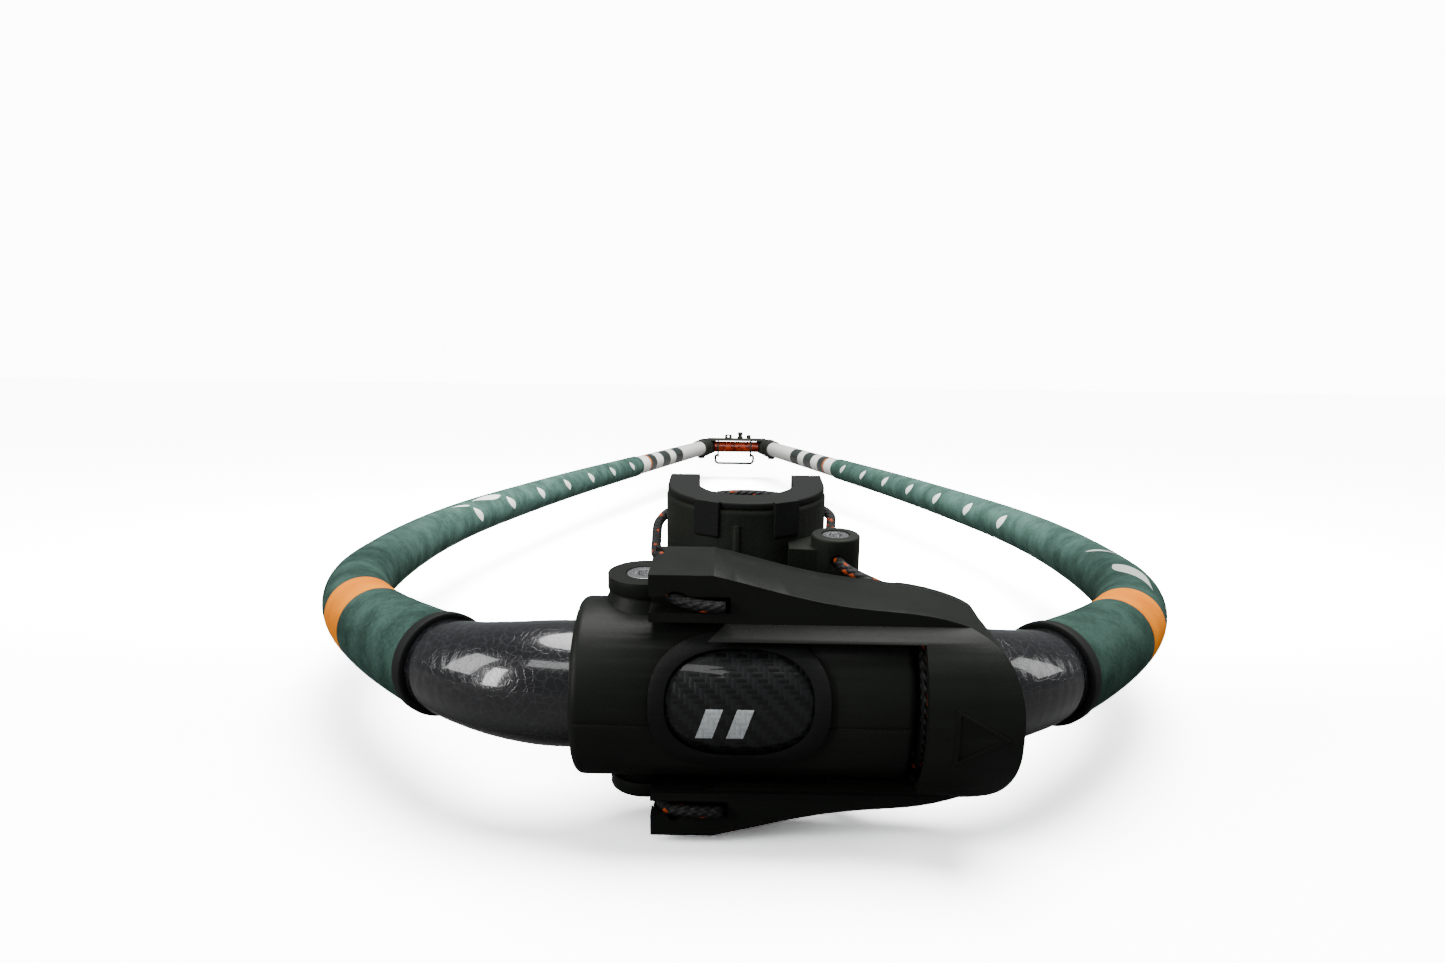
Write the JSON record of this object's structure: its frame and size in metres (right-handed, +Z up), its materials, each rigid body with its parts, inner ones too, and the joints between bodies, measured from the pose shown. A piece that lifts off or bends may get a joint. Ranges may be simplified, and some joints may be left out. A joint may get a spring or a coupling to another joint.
{
  "type": "windsurfing boom",
  "caption": "Wishbone boom for windsurfing: padded carbon frame, hinged mast clamp with rope loop and lever, and a telescoping tail with a line roller and a wire bail.",
  "frame": {"origin": "the mast clamp's axis at the middle of the cup's height", "axes": "+Z up and square to the boom's plane, +Y from the mast towards the tail, +X to the right seen from the front; the mast axis leans 8 degrees from +Z towards the front at rest"},
  "size_m": [0.5612, 1.6991, 0.1448],
  "materials": {
    "carbon": "glossy lacquered carbon fibre",
    "grip_foam": "grey-green closed-cell foam",
    "accent_foam": "orange closed-cell foam",
    "black_wire": "black coated steel wire",
    "black_rubber": "black rubber",
    "white_tube": "white painted tube",
    "black_moulding": "fine-grained black moulding",
    "steel": "stainless steel",
    "white_plastic": "grey-white plastic",
    "line": "black braided line with red flecks",
    "leg_tube": "anodised tube",
    "orange_tube": "glossy orange-red"
  },
  "bodies": {
    "frame": {"front_tube": "carbon", "grip_front_right": "grip_foam", "grip_front_left": "grip_foam", "grip_band_right": "accent_foam", "grip_band_left": "accent_foam", "grip_rear_right": "grip_foam", "grip_rear_left": "grip_foam", "grip_ring_right": "black_rubber", "grip_ring_left": "black_rubber", "rear_arm_right": "white_tube", "rear_arm_left": "white_tube", "arm_collar_right": "black_moulding", "arm_collar_left": "black_moulding"},
    "head": {"sleeve_upper": "black_moulding", "sleeve_lower": "black_moulding", "sleeve_bush": "black_rubber", "badge_bezel": "black_moulding", "badge_panel": "carbon", "mast_cup": "black_moulding", "cup_liner": "black_rubber", "cup_bolts": "steel", "line_bolts": "steel", "pivot_bolts": "steel"},
    "lever": {"clamp_lever": "black_moulding", "pivot_bushes": "white_plastic", "mast_line_upper": "line", "mast_line_lower": "line", "lever_line": "line"},
    "tail": {"tail_leg_right": "leg_tube", "tail_leg_left": "leg_tube", "tail_body": "black_moulding", "cross_tube": "orange_tube", "roller_pin": "steel", "bail_clips": "black_moulding"},
    "roller": {"line_roller": "black_moulding"},
    "bail": {"tail_bail": "black_wire"},
    "right_pin": {"lock_pin_right": "black_moulding"},
    "left_pin": {"lock_pin_left": "black_moulding"}
  },
  "joints": [
    {"name": "head_tilt", "type": "hinge", "parent": "frame", "child": "head", "pos_m": [0, -0.08764, -0.01232], "axis": [1, 0, 0], "range_deg": [-48, 32]},
    {"name": "lever_open", "type": "hinge", "parent": "head", "child": "lever", "pos_m": [-0.044, -0.0817, -0.01148], "axis": [0, 0.1392, -0.9903], "range_deg": [0, 100], "deforming": ["mast_line_upper", "mast_line_lower", "lever_line"]},
    {"name": "tail_slide", "type": "slide", "parent": "frame", "child": "tail", "axis": [0, 1, 0], "range_m": [0, 0.375], "deforming": ["tail_leg_right", "tail_leg_left"]},
    {"name": "roller_spin", "type": "hinge", "parent": "tail", "child": "roller", "pos_m": [0.008, 1.5381, 0.01168], "axis": [0, 0, 1], "continuous": true},
    {"name": "bail_swing", "type": "hinge", "parent": "tail", "child": "bail", "pos_m": [-0.004, 1.5381, -0.03032], "axis": [1, 0, 0], "range_deg": [-75, 75]},
    {"name": "right_pin_pull", "type": "slide", "parent": "frame", "child": "right_pin", "axis": [0, 0, -1], "range_m": [0, 0.009]},
    {"name": "left_pin_pull", "type": "slide", "parent": "frame", "child": "left_pin", "axis": [0, 0, -1], "range_m": [0, 0.009]}
  ]
}
